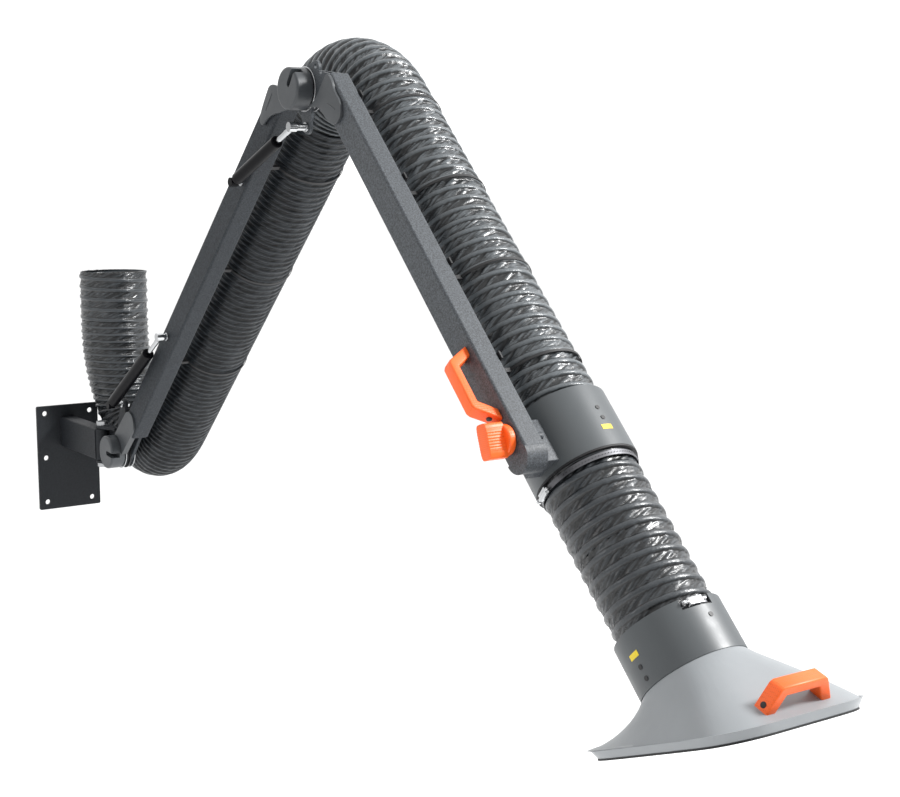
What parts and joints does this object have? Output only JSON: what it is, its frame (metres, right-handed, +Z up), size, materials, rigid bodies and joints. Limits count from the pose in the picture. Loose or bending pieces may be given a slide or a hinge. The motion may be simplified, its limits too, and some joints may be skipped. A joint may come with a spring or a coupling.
{
  "type": "fume extraction arm",
  "caption": "Wall-mounted fume extraction arm: a duct hose carried beside a jointed beam arm with gas springs, turning on a wall console, with a tilting flared hood.",
  "frame": {"origin": "centre of the wall plate's back face, where it meets the wall", "axes": "+X away from the wall, +Y along the wall towards the hose side, +Z up"},
  "size_m": [2.3571, 0.3962, 1.1373],
  "materials": {
    "powder_coat": "fine textured powder coat",
    "cover_plastic": "smooth moulded",
    "collar_plastic": "smooth moulded",
    "hood_plastic": "smooth moulded",
    "orange_plastic": "dotted grip texture",
    "hose_fabric": "coated, wrinkled over a wire helix",
    "zinc_steel": "bright zinc",
    "stainless": "bright band",
    "chrome_rod": "polished",
    "black_paint": "gloss black",
    "black_plastic": "matt black",
    "rubber": "matt"
  },
  "bodies": {
    "wall_console": {"wall_plate": "powder_coat", "console_tube": "powder_coat", "pivot_bush": "zinc_steel", "tail_hose": "hose_fabric"},
    "slew_head": {"slew_fork": "powder_coat", "slew_bolt": "zinc_steel", "shoulder_axle": "zinc_steel", "shoulder_hub_cap": "cover_plastic", "shoulder_washers": "zinc_steel", "shoulder_disc": "black_plastic", "lower_spring_foot_stud": "chrome_rod", "slew_hose_bend": "hose_fabric"},
    "lower_arm": {"lower_beam": "powder_coat", "shoulder_knuckle": "powder_coat", "shoulder_cover": "cover_plastic", "elbow_yoke": "powder_coat", "lower_elbow_cover": "cover_plastic", "elbow_axle": "zinc_steel", "elbow_hub_cap": "cover_plastic", "elbow_washers": "zinc_steel", "lower_beam_studs": "chrome_rod", "lower_hose_hangers": "black_plastic", "lower_hose": "hose_fabric", "shoulder_hose_bend": "hose_fabric"},
    "upper_arm": {"upper_beam": "powder_coat", "elbow_knuckle": "powder_coat", "lever_plate": "powder_coat", "lever_stud": "chrome_rod", "upper_elbow_cover": "cover_plastic", "beam_nose": "powder_coat", "arm_handle": "orange_plastic", "upper_hose_hangers": "black_plastic", "upper_hose": "hose_fabric", "elbow_hose_bend": "hose_fabric"},
    "collar": {"upper_collar": "collar_plastic", "collar_bracket": "powder_coat", "collar_pivot_bolt": "zinc_steel", "collar_edge_trim": "rubber", "collar_screws": "zinc_steel", "collar_clamp": "stainless", "collar_spider": "zinc_steel", "collar_hose": "hose_fabric", "neck_hose_upper": "hose_fabric"},
    "knob": {"friction_knob": "orange_plastic"},
    "gimbal": {"gimbal_link": "zinc_steel", "gimbal_bolts": "zinc_steel"},
    "hood_neck": {"hood_collar": "collar_plastic", "hood_spider": "zinc_steel", "hood_clamp": "stainless", "hood_collar_screws": "zinc_steel", "neck_hose_lower": "hose_fabric"},
    "hood": {"hood_funnel": "hood_plastic", "hood_rim_seal": "rubber", "hood_handle": "orange_plastic"},
    "lower_gas_cylinder": {"lower_spring_cylinder": "black_paint"},
    "lower_gas_rod": {"lower_spring_rod": "chrome_rod"},
    "upper_gas_cylinder": {"upper_spring_cylinder": "black_paint"},
    "upper_gas_rod": {"upper_spring_rod": "chrome_rod"}
  },
  "joints": [
    {"name": "slew", "type": "hinge", "parent": "wall_console", "child": "slew_head", "pos_m": [0.236, 0, 0.064], "axis": [0, 0, 1], "range_deg": [-60, 45], "deforming": ["slew_hose_bend"]},
    {"name": "shoulder", "type": "hinge", "parent": "slew_head", "child": "lower_arm", "pos_m": [0.314, 0, 0.057], "axis": [0, -1, 0], "range_deg": [-35, 11], "deforming": ["shoulder_hose_bend"]},
    {"name": "elbow", "type": "hinge", "parent": "lower_arm", "child": "upper_arm", "pos_m": [1.23, 0, 0.864], "axis": [0, -1, 0], "range_deg": [-30, 50], "deforming": ["elbow_hose_bend"]},
    {"name": "lower_spring_pivot", "type": "hinge", "parent": "slew_head", "child": "lower_gas_cylinder", "pos_m": [0.337, -0.017, 0.1725], "axis": [0, -1, 0], "range_deg": [-41.5, 13.5]},
    {"name": "lower_spring_slide", "type": "slide", "parent": "lower_gas_cylinder", "child": "lower_gas_rod", "axis": [0.8416, 0, 0.54], "range_m": [-0.019, 0.059]},
    {"name": "upper_spring_pivot", "type": "hinge", "parent": "lower_arm", "child": "upper_gas_cylinder", "pos_m": [0.994, -0.017, 0.6946], "axis": [0, -1, 0], "range_deg": [-3, 2]},
    {"name": "upper_spring_slide", "type": "slide", "parent": "upper_gas_cylinder", "child": "upper_gas_rod", "axis": [0.9224, 0, 0.3862], "range_m": [-0.034, 0.056]},
    {"name": "collar_tilt", "type": "hinge", "parent": "upper_arm", "child": "collar", "pos_m": [1.87047, 0.1, 0.3043], "axis": [0, -1, 0], "range_deg": [-20, 20], "deforming": ["collar_hose"]},
    {"name": "knob_turn", "type": "hinge", "parent": "collar", "child": "knob", "pos_m": [1.87047, 0.1, 0.3043], "axis": [0, -1, 0], "range_deg": [-180, 180]},
    {"name": "hood_pitch", "type": "hinge", "parent": "collar", "child": "gimbal", "pos_m": [1.91168, 0.16, 0.1879], "axis": [0, -1, 0], "range_deg": [-30, 30], "deforming": ["neck_hose_upper"]},
    {"name": "hood_roll", "type": "hinge", "parent": "gimbal", "child": "hood_neck", "pos_m": [2.01523, 0.16, 0.08216], "axis": [0.7145, 0, 0.6997], "range_deg": [-30, 30], "deforming": ["neck_hose_lower"]},
    {"name": "hood_swivel", "type": "hinge", "parent": "hood_neck", "child": "hood", "pos_m": [2.12997, 0.16, -0.03501], "axis": [0.6997, 0, -0.7145], "continuous": true}
  ],
  "couplings": [
    {"joint": "lower_spring_pivot", "follows": "shoulder", "ratio": 1.17},
    {"joint": "lower_spring_slide", "follows": "shoulder", "m_per_rad": -0.095},
    {"joint": "upper_spring_pivot", "follows": "elbow", "ratio": -0.04},
    {"joint": "upper_spring_slide", "follows": "elbow", "m_per_rad": 0.061}
  ]
}
